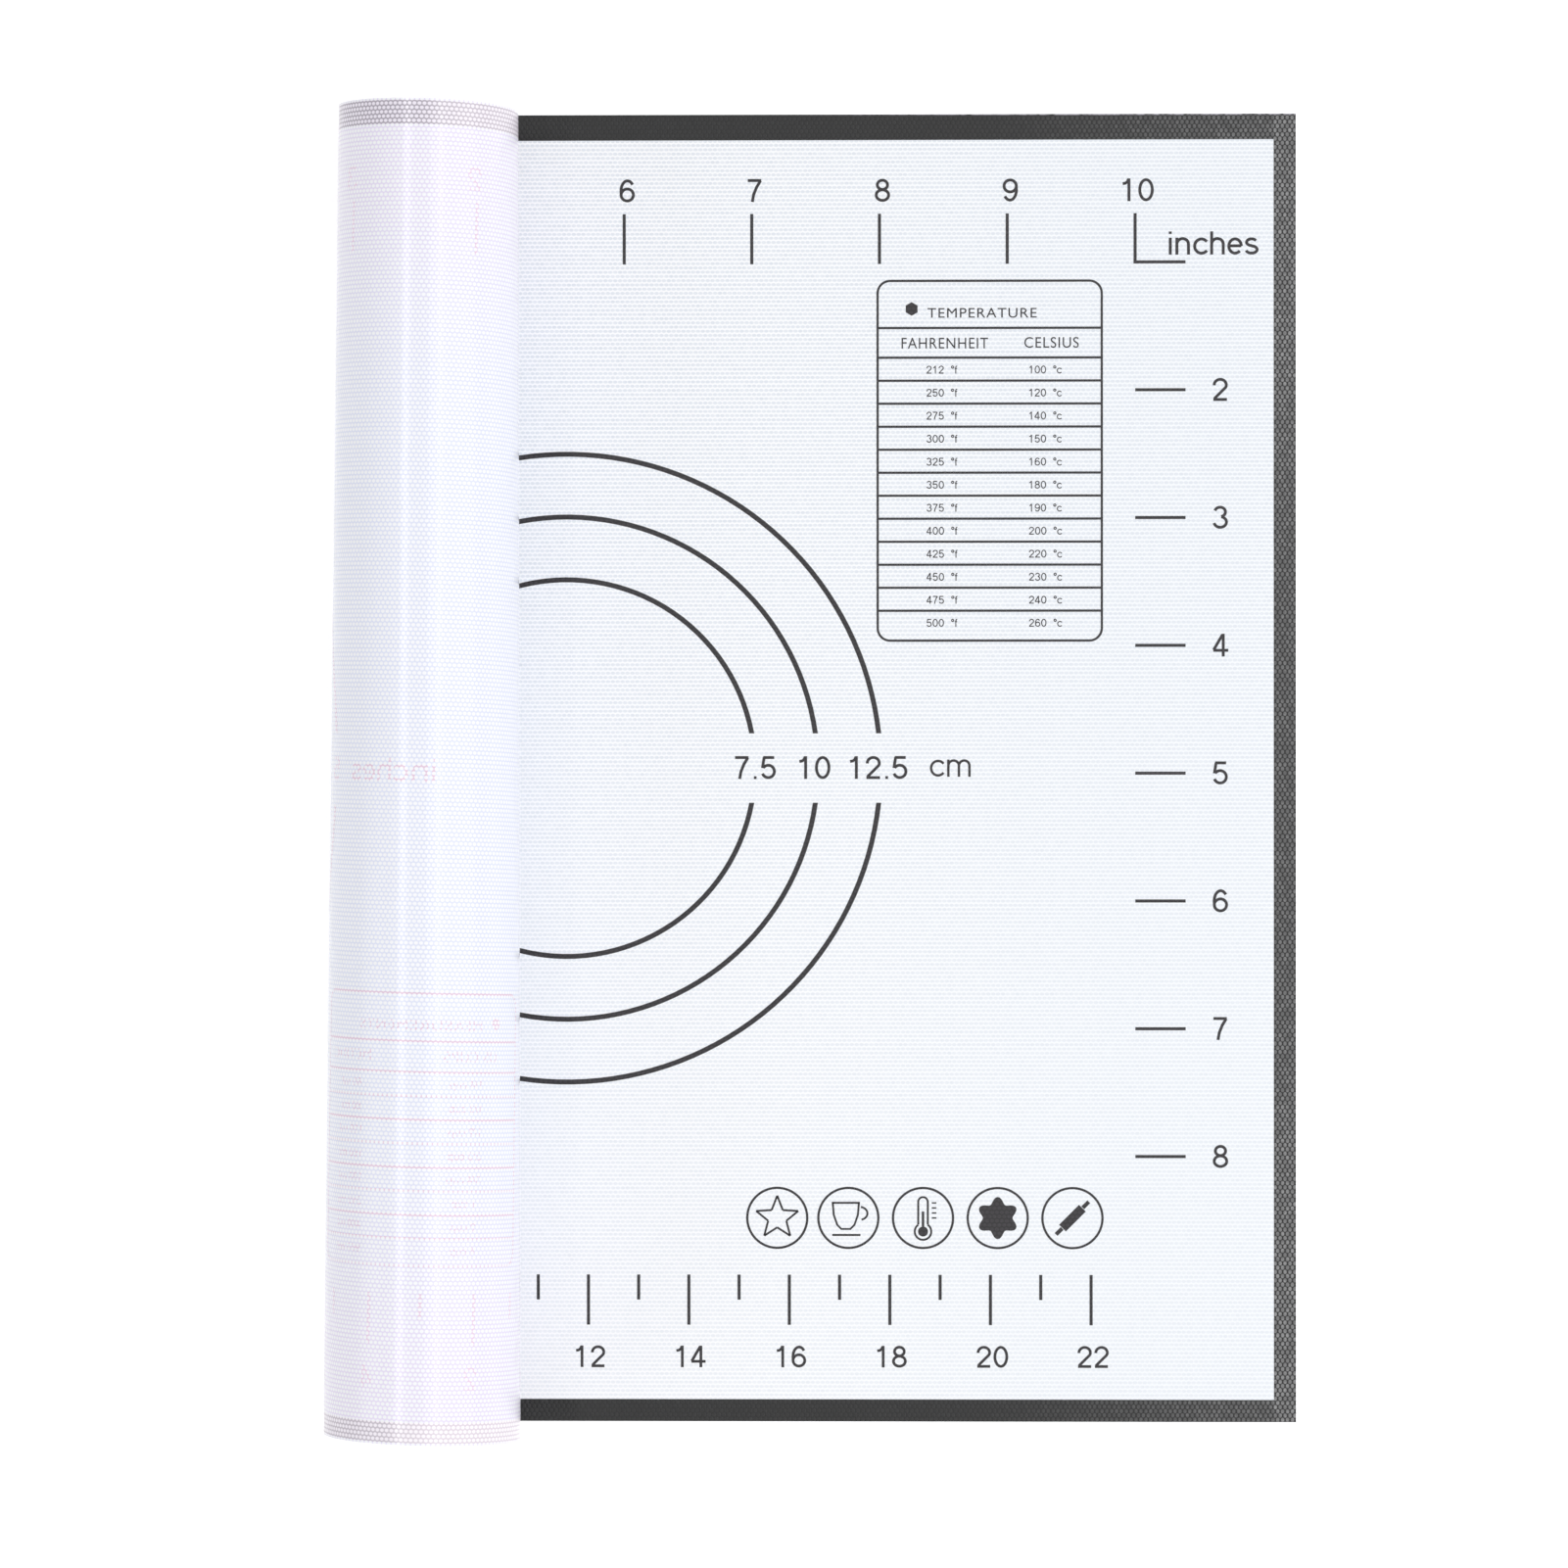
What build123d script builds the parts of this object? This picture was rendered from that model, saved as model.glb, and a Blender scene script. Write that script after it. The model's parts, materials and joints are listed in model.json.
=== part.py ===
"""A silicone baking mat with its left end rolled up over itself.

The mat is a woven glass cloth between two silicone coats, with a dark band round
the edge and measuring marks printed on top. Its rolled end is a slightly tapered
coil, made of curved strips between creases that would all meet at one far point.
Each strip turns about its crease, and with every crease opened the strips lie in
a row after the flat part.

Lengths are in millimetres. X runs across the mat from the rolled end, Y runs
from the front edge to the back edge, and Z is up from the table.
"""
import os
from math import asin, atan, cos, degrees, radians, sin

from build123d import *

os.makedirs("parts", exist_ok=True)

# The whole mat
mat_length = 290.0
mat_width = 260.0
base_coat_thickness = 0.2
cloth_thickness = 0.3
top_coat_thickness = 0.2
ink_thickness = 0.03

# The rolled end, with its sizes at the front edge
flat_length = 171.6
lift_off_skew = 1.2
strip_count = 6
first_coil_radius = 20.2
coil_pitch = 1.8
taper_reach = 2960.0
crease_gap = 0.03
full_turn = 360.0

# The dark band round the edge
back_band = 5.1
front_band = 4.4
side_band = 4.4

# The circles for round dough, from the middle of the mat
circle_diameters = [75.0, 100.0, 125.0]
circle_line = 1.0
circle_label_gap = 13.8

# The inch scale along the back, and the scale down the right side
inch_spacing = 25.4
inch_count = 10
inch_line = 0.62
inch_tick = 10.0
inch_scale_from_back = 19.75
side_scale_from_right = 31.9
side_scale_count = 8

# The centimetre scale along the front
centimetre_spacing = 10.0
centimetre_count = 22
centimetre_line = 0.62
centimetre_long_tick = 10.0
centimetre_short_tick = 5.0
centimetre_scale_from_front = 29.2
centimetre_zero_from_left = 29.3

# The oven heat table
table_width = 45.0
table_height = 72.0
table_corner = 2.7
table_line = 0.46
table_from_right = 38.3
table_from_back = 32.9
table_title_row = 9.6
table_head_row = 5.9
table_row = 4.575
table_rows = 12
table_dot_radius = 1.36
table_dot_inset = 7.0
table_dot_from_top = 5.8

# The five badge rings
badge_count = 5
badge_radius = 6.2
badge_line = 0.46
badge_spacing = 14.85
end_badge_shift = 0.7
badge_from_right = 44.4
badge_from_front = 40.5

# Places that follow from the sizes
sheet_thickness = base_coat_thickness + cloth_thickness + top_coat_thickness
cloth_start = base_coat_thickness
cloth_end = base_coat_thickness + cloth_thickness
right_edge = mat_length / 2
left_edge = -mat_length / 2
back_edge = mat_width / 2
front_edge = -mat_width / 2
lift_off = right_edge - flat_length
rolled_length = mat_length - flat_length
crease_meeting_x = lift_off + taper_reach * lift_off_skew / mat_width
crease_meeting_y = front_edge + taper_reach
back_scale = (taper_reach - mat_width) / taper_reach
strip_width = (rolled_length + lift_off_skew) / (strip_count * back_scale)


def crease_start(number):
    """Where a crease meets the front edge of the unrolled mat."""
    return lift_off - (number - 1) * strip_width


def crease_x(number, y):
    """Where a crease is at y on the unrolled mat."""
    share = (y - front_edge) / taper_reach
    return crease_start(number) + (crease_meeting_x - crease_start(number)) * share


def crease_lean(number):
    """The angle between a crease and the Y axis, in degrees."""
    return degrees(atan((crease_meeting_x - crease_start(number)) / taper_reach))


def coil_arcs():
    """The radius of each strip at the front edge and the angle that it bends through."""
    radii, arcs = [], []
    half_strip = strip_width / 2
    for number in range(strip_count):
        turned = sum(arcs) + degrees(asin(half_strip / first_coil_radius))
        radii.append(first_coil_radius - coil_pitch * turned / full_turn)
        arcs.append(2 * degrees(asin(half_strip / radii[-1])))
    return radii, arcs


radii, arcs = coil_arcs()
turns = [arcs[0] / 2] + [(before + after) / 2 for before, after in zip(arcs, arcs[1:])]


def fold(number):
    """The turn about a crease, in the unrolled mat's own coordinates."""
    crease = Location((crease_start(number), front_edge, 0), (0, 0, -crease_lean(number)))
    return crease * Location((0, 0, 0), (0, turns[number - 1], 0)) * crease.inverse()


def strip_places():
    """Where each strip's own flat coordinates come to lie once all creases are turned."""
    places = []
    place = Location((0, 0, 0))
    for number in range(1, strip_count + 1):
        place = place * fold(number)
        places.append(place)
    return places


def strip_bend(number, y):
    """A strip's bend at y: the middle of its arc, its radius and half of its angle."""
    radius = radii[number - 1] * (crease_meeting_y - y) / taper_reach
    half_arc = radians(arcs[number - 1] / 2)
    middle = (crease_x(number, y) - radius * sin(half_arc), radius * cos(half_arc))
    return middle, radius, half_arc


def bend_point(number, y, height, angle):
    """A point on a strip's arc, at an angle from straight down, before the strip is turned."""
    middle, radius, _ = strip_bend(number, y)
    reach = radius - height
    return middle[0] + reach * sin(angle), y, middle[1] - reach * cos(angle)


def last_cut():
    """The plane across the last strip where the mat's left edge is."""
    corners = []
    for y, height in ((front_edge, 0), (back_edge, 0), (front_edge, sheet_thickness)):
        _, radius, half_arc = strip_bend(strip_count, y)
        left_width = crease_x(strip_count, y) - left_edge
        angle = half_arc - 2 * asin(left_width / 2 / radius)
        corners.append(Vector(*bend_point(strip_count, y, height, angle)))
    across = corners[2] - corners[0]
    along = corners[1] - corners[0]
    return Plane(corners[0], x_dir=along, z_dir=across.cross(along))


def strip_layer(number, low, high):
    """A layer of a strip between two heights above its underside, from front to back."""
    with BuildPart() as made:
        for y in (front_edge, back_edge):
            _, radius, half_arc = strip_bend(number, y)
            start = half_arc - crease_gap / 2 / radius
            end = -start
            outer, inner = [
                [bend_point(number, y, height, angle) for angle in (start, 0, end)]
                for height in (low, high)
            ]
            with BuildSketch(Plane((0, y, 0), x_dir=(1, 0, 0), z_dir=(0, -1, 0))):
                with BuildLine():
                    ThreePointArc(*[(x, z) for x, _, z in outer])
                    Line(outer[2][::2], inner[2][::2])
                    ThreePointArc(*[(x, z) for x, _, z in inner[::-1]])
                    Line(inner[0][::2], outer[0][::2])
                make_face()
        loft(ruled=True)
        if number == strip_count:
            split(bisect_by=last_cut(), keep=Keep.BOTTOM)
    return places[number - 1] * made.part


def flat_outline():
    """The corners of the part that lies flat."""
    return [
        (crease_x(1, front_edge) + crease_gap / 2, front_edge),
        (right_edge, front_edge),
        (right_edge, back_edge),
        (crease_x(1, back_edge) + crease_gap / 2, back_edge),
    ]


def flat_layer(low, high):
    """A layer of the flat part between two heights above the table."""
    with BuildPart() as made:
        with BuildSketch(Plane.XY.offset(low)):
            with BuildLine():
                Polyline(*flat_outline(), close=True)
            make_face()
        extrude(amount=high - low)
    return made.part


# The whole mat's box decides where the origin is, in the middle seen from above
places = strip_places()
box = Compound(
    children=[flat_layer(0, sheet_thickness)]
    + [strip_layer(number, 0, sheet_thickness) for number in range(1, strip_count + 1)]
).bounding_box()
centre_x = (box.min.X + box.max.X) / 2
centre_y = (box.min.Y + box.max.Y) / 2
mat_place = Location((-centre_x, -centre_y, 0))
mat_plane = Plane(mat_place)

# The part that lies flat
flat_layers = {
    "base_coat": (0, cloth_start),
    "glass_cloth": (cloth_start, cloth_end),
    "top_coat": (cloth_end, sheet_thickness),
}
for layer_name, (low, high) in flat_layers.items():
    with BuildPart() as flat_part:
        add(mat_place * flat_layer(low, high))
    flat_part.part.label = layer_name
    export_step(flat_part.part, f"parts/{layer_name}.step")

# The strips of the rolled end, each a cloth between its two coats
for number in range(1, strip_count + 1):
    with BuildPart() as rolled_cloth:
        add(mat_place * strip_layer(number, cloth_start, cloth_end))
    rolled_cloth.part.label = f"rolled_cloth_{number:02d}"
    export_step(rolled_cloth.part, f"parts/rolled_cloth_{number:02d}.step")

    with BuildPart() as rolled_coat:
        add(mat_place * strip_layer(number, 0, cloth_start))
        add(mat_place * strip_layer(number, cloth_end, sheet_thickness))
    rolled_coat.part.label = f"rolled_coat_{number:02d}"
    export_step(rolled_coat.part, f"parts/rolled_coat_{number:02d}.step")

# The plane that everything printed on the flat part lies on
ink_plane = mat_plane.offset(sheet_thickness)
print_start = crease_x(1, back_edge) + crease_gap / 2

# The dark band round the edge of the flat part
with BuildPart() as border_band:
    with BuildSketch(ink_plane):
        with BuildLine():
            Polyline(*flat_outline(), close=True)
        make_face()
        band_length = mat_length - side_band
        band_width = mat_width - back_band - front_band
        with Locations((left_edge, front_edge + front_band)):
            Rectangle(band_length, band_width, align=Align.MIN, mode=Mode.SUBTRACT)
    extrude(amount=ink_thickness)
border_band.part.label = "border_band"
export_step(border_band.part, "parts/border_band.step")

# The circles, open at the right for their sizes and cut off where the roll starts
with BuildPart() as circle_guides:
    with BuildSketch(ink_plane):
        for diameter in sorted(circle_diameters, reverse=True):
            Circle(diameter / 2 + circle_line / 2)
            Circle(diameter / 2 - circle_line / 2, mode=Mode.SUBTRACT)
        Rectangle(mat_length, circle_label_gap, align=(Align.MIN, Align.CENTER), mode=Mode.SUBTRACT)
        with Locations((print_start, 0)):
            Rectangle(mat_length, mat_width, align=(Align.MAX, Align.CENTER), mode=Mode.SUBTRACT)
    extrude(amount=ink_thickness)
circle_guides.part.label = "circle_guides"
export_step(circle_guides.part, "parts/circle_guides.step")

# The inch scale along the back edge, as far as it lies flat
scale_y = back_edge - inch_scale_from_back
scale_end = right_edge - side_scale_from_right
inches = [scale_end - inch_spacing * step for step in range(inch_count)]
with BuildPart() as inch_scale:
    with BuildSketch(ink_plane):
        with Locations(*[(x, scale_y) for x in inches if x - inch_line > print_start]):
            Rectangle(inch_line, inch_tick, align=(Align.CENTER, Align.MAX))
    extrude(amount=ink_thickness)
inch_scale.part.label = "inch_scale"
export_step(inch_scale.part, "parts/inch_scale.step")

# The inch scale down the right side. Its first line is flush with the foot of the last tick
side_start = scale_y - inch_tick + inch_line / 2
side_steps = range(1, side_scale_count)
with BuildPart() as side_scale:
    with BuildSketch(ink_plane):
        with Locations((scale_end + inch_line / 2, side_start)):
            Rectangle(inch_tick - inch_line / 2, inch_line, align=(Align.MIN, Align.CENTER))
        with Locations(*[(scale_end, side_start - inch_spacing * step) for step in side_steps]):
            Rectangle(inch_tick, inch_line, align=(Align.MIN, Align.CENTER))
    extrude(amount=ink_thickness)
side_scale.part.label = "side_scale"
export_step(side_scale.part, "parts/side_scale.step")

# The centimetre scale along the front edge, with a longer tick at each even number
centimetre_zero = left_edge + centimetre_zero_from_left
centimetre_y = front_edge + centimetre_scale_from_front
with BuildPart() as centimetre_scale:
    with BuildSketch(ink_plane):
        for step in range(centimetre_count + 1):
            x = centimetre_zero + centimetre_spacing * step
            if x - centimetre_line > print_start:
                tick = centimetre_short_tick if step % 2 else centimetre_long_tick
                with Locations((x, centimetre_y)):
                    Rectangle(centimetre_line, tick, align=(Align.CENTER, Align.MAX))
    extrude(amount=ink_thickness)
centimetre_scale.part.label = "centimetre_scale"
export_step(centimetre_scale.part, "parts/centimetre_scale.step")

# The oven heat table: a rounded frame, its rows and a six-sided dot by the title
table_right = right_edge - table_from_right
table_left = table_right - table_width
table_top = back_edge - table_from_back
table_middle = (table_left + table_right) / 2
rows_top = table_top - table_title_row - table_head_row
row_lines = [table_top - table_title_row] + [
    rows_top - table_row * step for step in range(table_rows)
]
with BuildPart() as conversion_table:
    with BuildSketch(ink_plane):
        with Locations((table_middle, table_top - table_height / 2)):
            RectangleRounded(table_width, table_height, table_corner)
            RectangleRounded(
                table_width - 2 * table_line,
                table_height - 2 * table_line,
                table_corner - table_line,
                mode=Mode.SUBTRACT,
            )
        with Locations(*[(table_middle, y) for y in row_lines]):
            Rectangle(table_width - table_line, table_line)
        with Locations((table_left + table_dot_inset, table_top - table_dot_from_top)):
            RegularPolygon(table_dot_radius, 6, rotation=30)
    extrude(amount=ink_thickness)
conversion_table.part.label = "conversion_table"
export_step(conversion_table.part, "parts/conversion_table.step")

# The row of badge rings
badge_y = front_edge + badge_from_front
badge_last = right_edge - badge_from_right
badge_row = [badge_last - badge_spacing * step for step in range(badge_count)]
badge_row[-1] += end_badge_shift
with BuildPart() as badge_rings:
    with BuildSketch(ink_plane):
        with Locations(*[(x, badge_y) for x in badge_row]):
            Circle(badge_radius)
            Circle(badge_radius - badge_line, mode=Mode.SUBTRACT)
    extrude(amount=ink_thickness)
badge_rings.part.label = "badge_rings"
export_step(badge_rings.part, "parts/badge_rings.step")

print(f"{strip_count} strips, turned {sum(turns):.1f} degrees in all")
print(f"the roll lifts off {flat_length:.1f} mm from the right edge")
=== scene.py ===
# %% [markdown]
# # A silicone baking mat, half rolled up
#
# The real mat is a woven glass cloth between two thin coats of silicone, with a dark
# band printed round its edge and measuring marks on its upper face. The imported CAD
# model is loaded first, because every piece made here has to ride on one of its bodies.

import json
import math

import bmesh
import bpy
from mathutils import Matrix, Vector


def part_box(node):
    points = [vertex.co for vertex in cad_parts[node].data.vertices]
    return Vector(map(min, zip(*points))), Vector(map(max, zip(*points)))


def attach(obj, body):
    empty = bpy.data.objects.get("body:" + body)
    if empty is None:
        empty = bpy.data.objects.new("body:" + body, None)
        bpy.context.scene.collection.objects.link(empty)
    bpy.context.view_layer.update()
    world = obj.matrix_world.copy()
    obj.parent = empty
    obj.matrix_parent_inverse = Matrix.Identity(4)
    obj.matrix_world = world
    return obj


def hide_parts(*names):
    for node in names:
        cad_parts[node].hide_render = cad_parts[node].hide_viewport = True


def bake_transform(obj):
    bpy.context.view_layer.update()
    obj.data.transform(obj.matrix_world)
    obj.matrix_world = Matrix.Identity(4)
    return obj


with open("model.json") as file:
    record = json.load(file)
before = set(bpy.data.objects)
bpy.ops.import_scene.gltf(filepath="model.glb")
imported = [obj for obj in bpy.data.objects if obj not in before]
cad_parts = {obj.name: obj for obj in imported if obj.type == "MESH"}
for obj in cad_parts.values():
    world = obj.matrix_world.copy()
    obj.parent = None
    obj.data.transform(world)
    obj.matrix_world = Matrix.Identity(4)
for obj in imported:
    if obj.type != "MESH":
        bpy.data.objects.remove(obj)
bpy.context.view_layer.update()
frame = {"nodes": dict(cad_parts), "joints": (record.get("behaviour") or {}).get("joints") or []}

# %% [markdown]
# ## Sizes
#
# The sizes are written in millimetres and made metres by one factor. The mat's own
# coordinates start in its middle, where the circles are centred: X runs to the right
# edge and Y to the back edge of the mat when it lies open. Heights count from the
# underside.

# %% Sizes of the open mat
MM = 0.001
MAT_LENGTH = 290 * MM
MAT_WIDTH = 260 * MM
THICKNESS = 0.7 * MM
INK = 0.03 * MM
LEFT, RIGHT = -MAT_LENGTH / 2, MAT_LENGTH / 2
FRONT, BACK = -MAT_WIDTH / 2, MAT_WIDTH / 2

# %% [markdown]
# ## How the roll bends
#
# The rolled end is a coil that tapers a little towards the back, so the lines along
# which it bends all meet at one far point. The CAD cuts it into six strips, each an
# arc of its own radius, and turns each strip about the crease where it starts. The
# same rule is written here, so that a point of the open mat can be carried to its
# place in the roll.

# %% Sizes of the coil
FLAT_LENGTH = 171.6 * MM
LIFT_OFF_SKEW = 1.2 * MM
STRIPS = 6
FIRST_RADIUS = 20.2 * MM
COIL_PITCH = 1.8 * MM
TAPER_REACH = 2960 * MM

lift_off = RIGHT - FLAT_LENGTH
rolled_length = MAT_LENGTH - FLAT_LENGTH
meeting_x = lift_off + TAPER_REACH * LIFT_OFF_SKEW / MAT_WIDTH
meeting_y = FRONT + TAPER_REACH
back_scale = (TAPER_REACH - MAT_WIDTH) / TAPER_REACH
strip_width = (rolled_length + LIFT_OFF_SKEW) / (STRIPS * back_scale)
print(f"each strip is {strip_width / MM:.2f} mm wide at the front edge")


def crease_start(number):
    """Where a crease meets the front edge. A number such as 2.5 lies between two creases."""
    return lift_off - (number - 1) * strip_width


def crease_x(number, y):
    share = (y - FRONT) / TAPER_REACH
    return crease_start(number) + (meeting_x - crease_start(number)) * share


# %% The arc of each strip
radii, arcs = [], []
for strip in range(STRIPS):
    turned = sum(arcs) + math.asin(strip_width / 2 / FIRST_RADIUS)
    radii.append(FIRST_RADIUS - COIL_PITCH * turned / math.tau)
    arcs.append(2 * math.asin(strip_width / 2 / radii[-1]))
turns = [arcs[0] / 2] + [(before + after) / 2 for before, after in zip(arcs, arcs[1:])]
print("the strips bend by", [round(math.degrees(arc), 1) for arc in arcs], "degrees")


# %% Where each strip lies in the frame
def fold(number):
    """The turn about a crease, in the open mat's coordinates."""
    lean = math.atan((meeting_x - crease_start(number)) / TAPER_REACH)
    start = Matrix.Translation((crease_start(number), FRONT, 0))
    along = start @ Matrix.Rotation(-lean, 4, "Z")
    return along @ Matrix.Rotation(turns[number - 1], 4, "Y") @ along.inverted()


_, flat_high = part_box("base_coat")
mat_centre = Matrix.Translation((flat_high.x - RIGHT, flat_high.y - BACK, 0))
places = [mat_centre]
for strip in range(1, STRIPS + 1):
    places.append(places[-1] @ fold(strip))
for strip, joint in enumerate(frame["joints"], start=1):
    crease = places[strip] @ Vector((crease_x(strip, 0), 0, 0))
    away = crease - Vector(joint["pos_m"])
    print(joint["name"], "is", round(away.length / MM, 3), "mm from the same crease here")


# %% Carry a point of the open mat to its place
def bent(point, number):
    """A point of the open mat, bent and turned with its strip."""
    x, y, height = point
    if number == 0:
        return places[0] @ Vector(point)
    radius = radii[number - 1] * (meeting_y - y) / TAPER_REACH
    half_arc = arcs[number - 1] / 2
    away = min(max(crease_x(number, y) - x, 0), 2 * radius)
    angle = half_arc - 2 * math.asin(away / 2 / radius)
    reach = radius - height
    middle_x = crease_x(number, y) - radius * math.sin(half_arc)
    middle_z = radius * math.cos(half_arc)
    on_arc = Vector((middle_x + reach * math.sin(angle), y, middle_z - reach * math.cos(angle)))
    return places[number] @ on_arc


tip = bent((LEFT, 0, 0), STRIPS)
print("the left edge lies", round(tip.z / MM, 2), "mm above the table inside the roll")

# %% [markdown]
# ## Shader maths as plain Python
#
# A weave needs a good deal of arithmetic in its material. One small class wraps a
# socket, so that `1 - mask * 0.5` adds the Math nodes by itself, and one method adds
# any other node from its type, its settings and its inputs.

# %% A socket that can be calculated with
class Socket:
    def __init__(self, finish, socket):
        self.finish = finish
        self.socket = socket

    def maths(self, operation, *others):
        inputs = dict(enumerate((self, *others)))
        return self.finish.node("ShaderNodeMath", {"operation": operation}, inputs)

    def __add__(self, other):
        return self.maths("ADD", other)

    def __radd__(self, other):
        return self.maths("ADD", other)

    def __sub__(self, other):
        return self.maths("SUBTRACT", other)

    def __rsub__(self, other):
        return (self * -1).maths("ADD", other)

    def __mul__(self, other):
        return self.maths("MULTIPLY", other)

    def __truediv__(self, other):
        return self.maths("DIVIDE", other)

    def whole(self):
        return self.maths("FLOOR")

    def part(self):
        return self.maths("FRACT")

    def above(self, level):
        return self.maths("GREATER_THAN", level)

    def smooth(self, low, high):
        """0 below low, 1 above high, and an even slope between them."""
        settings = {"interpolation_type": "SMOOTHSTEP"}
        return self.finish.node("ShaderNodeMapRange", settings, {0: self, 1: low, 2: high})


# %% A material that is built node by node
def linear(red, green, blue):
    """A colour as picked from a screen, made the linear light that nodes work in."""
    scaled = (value / 255 for value in (red, green, blue))
    return tuple(v / 12.92 if v <= 0.04045 else ((v + 0.055) / 1.055) ** 2.4 for v in scaled) + (1,)


class Finish:
    def __init__(self, name, roughness):
        self.material = bpy.data.materials.new(name)
        self.material.use_nodes = True
        self.tree = self.material.node_tree
        self.shader = self.tree.nodes["Principled BSDF"]
        self.shader.inputs["Roughness"].default_value = roughness

    def node(self, kind, settings=None, inputs=None, output=0):
        made = self.tree.nodes.new(kind)
        for setting, value in (settings or {}).items():
            setattr(made, setting, value)
        for place, value in (inputs or {}).items():
            self.set(made.inputs[place], value)
        return Socket(self, made.outputs[output])

    def set(self, socket, value):
        if isinstance(value, Socket):
            self.tree.links.new(value.socket, socket)
        else:
            socket.default_value = value

    def shade(self, place, value):
        self.set(self.shader.inputs[place], value)

    def split(self, vector):
        """The X and Y of a vector socket."""
        parts = self.tree.nodes.new("ShaderNodeSeparateXYZ")
        self.set(parts.inputs[0], vector)
        return Socket(self, parts.outputs[0]), Socket(self, parts.outputs[1])

    def blend(self, share, low, high):
        """A colour between two colours."""
        settings = {"data_type": "RGBA"}
        return self.node("ShaderNodeMix", settings, {0: share, 6: low, 7: high}, output=2)

    def noise(self, position, scale, detail):
        inputs = {"Vector": position, "Scale": scale, "Detail": detail}
        return self.node("ShaderNodeTexNoise", None, inputs)

    def bump(self, height, distance, strength):
        inputs = {"Height": height, "Distance": distance, "Strength": strength}
        self.shade("Normal", self.node("ShaderNodeBump", None, inputs))


# %% [markdown]
# ## The weave
#
# The glass cloth shows through the silicone as a net of small dots, where one thread
# passes over another. Each row of dots is shifted half a step from the row before it.
# The dots are round on the underside, short dashes on the upper face and upright
# lozenges on the band, so the pattern takes a dot's width and height as shares of the
# threads' spacing.

# %% The pattern of raised threads
THREAD_ACROSS = 0.97 * MM
THREAD_ALONG = 0.84 * MM
DOT_CORE, DOT_EDGE = 0.35, 1.1


def thread_dots(finish, across, along, dot_width, dot_height):
    """A mask that is 1 on the top of each raised thread and falls to 0 between them."""
    row = along / THREAD_ALONG
    odd_row = (row.whole() / 2).part()
    column = across / THREAD_ACROSS + odd_row
    from_middle_x = (column.part() - 0.5) / dot_width
    from_middle_y = (row.part() - 0.5) / dot_height
    reach = from_middle_x * from_middle_x + from_middle_y * from_middle_y
    return 1 - reach.smooth(DOT_CORE, DOT_EDGE)


def cloth_place(finish):
    """Where a point is along the threads, from the sheet's own UV map, and its X and Y."""
    uv = finish.node("ShaderNodeUVMap", {"uv_map": "weave"})
    return uv, *finish.split(uv)


# %% [markdown]
# ## The silicone of the upper face
#
# The upper coat is a cool white with a soft shine. Towards the right it is painted a
# trace darker, as painted shade that evens out the light falling brighter there. Its
# dashes are only a shade darker and a little stronger towards the back, and a noise
# makes them uneven. Under the band the coat is as dark as the band, so no light line
# shows where two strips meet.

# %% Where the band lies
BAND_BACK = 5.1 * MM
BAND_FRONT = 4.4 * MM
BAND_SIDE = 4.4 * MM


def band_mask(finish, rim):
    """1 under the dark band, without a rim along the cut edge, and the open mat's X and Y."""
    place = finish.node("ShaderNodeUVMap", {"uv_map": "place"})
    open_x, open_y = finish.split(place)
    near_back = open_y.above(BACK - BAND_BACK)
    near_front = (open_y * -1).above(-FRONT - BAND_FRONT)
    near_left = (open_x * -1).above(-LEFT - BAND_SIDE)
    mask = near_back.maths("MAXIMUM", near_front).maths("MAXIMUM", near_left)
    on_back_rim = (open_y * open_y).above((BACK - rim) * (BACK - rim))
    on_side_rim = (open_x * open_x).above((RIGHT - rim) * (RIGHT - rim))
    return mask * (1 - on_back_rim) * (1 - on_side_rim), open_x, open_y


# %% Upper face
UPPER_FACE = linear(252, 253, 255)
UPPER_FACE_PAINTED_SHADE = linear(243, 246, 250)
UPPER_DASH = linear(214, 220, 229)
DASH_WIDTH, DASH_HEIGHT = 0.56, 0.41
UNDER_THE_BAND = linear(14, 14, 15)
UPPER_RIM = 0.1 * MM

upper_face = Finish("silicone_upper_face", 0.42)
position, across, along = cloth_place(upper_face)
dashes = thread_dots(upper_face, across, along, DASH_WIDTH, DASH_HEIGHT)
uneven = upper_face.noise(position, 700, 2)
on_band, open_x, open_y = band_mask(upper_face, UPPER_RIM)
towards_back = open_y.smooth(-120 * MM, 90 * MM)
# Painted shade: the coat darkens towards the right, where the light falls brighter.
right_painted_shade = open_x.smooth(10 * MM, 130 * MM)
strength = (0.46 + towards_back * 0.24) * (0.55 + uneven * 0.9)
coat = upper_face.blend(right_painted_shade, UPPER_FACE, UPPER_FACE_PAINTED_SHADE)
white_silicone = upper_face.blend(dashes * strength, coat, UPPER_DASH)
upper_face.shade("Base Color", upper_face.blend(on_band, white_silicone, UNDER_THE_BAND))
upper_face.bump(dashes * -1, 0.05 * MM, 0.35)
print("upper face nodes:", len(upper_face.tree.nodes))

# %% [markdown]
# ## The silicone of the underside
#
# The underside faces outwards on the roll. Its dots are whiter than the net between
# them, and the net is pinker towards the two ends of the roll. The dark band on the
# other face shows through as a grey, paler far to the left and along the front. The
# band's place is read from the second UV map, which holds the open mat's coordinates.
# The marks show through in the same way, as a film with a pinker net.

# %% Underside
NET = linear(226, 230, 248)
PINKISH_NET = linear(240, 218, 244)
PINK_SHARE = 0.45
PINK_START, PINK_END = 60 * MM, 118 * MM
UNDER_DOT = linear(250, 251, 255)
UNDER_DOT_SIZE = 0.47
BAND_NET = linear(172, 165, 178)
BAND_DOT = linear(242, 236, 247)
PALE_BAND_NET = linear(226, 216, 227)
PALE_BAND_DOT = linear(255, 250, 255)
FADE_START, FADE_END = 76 * MM, 88 * MM
LEFT_PALER, FRONT_PALER = 0.55, 0.42
CUT_RIM = 0.45 * MM
SEEN_THROUGH_NET = linear(228, 202, 223)


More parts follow.
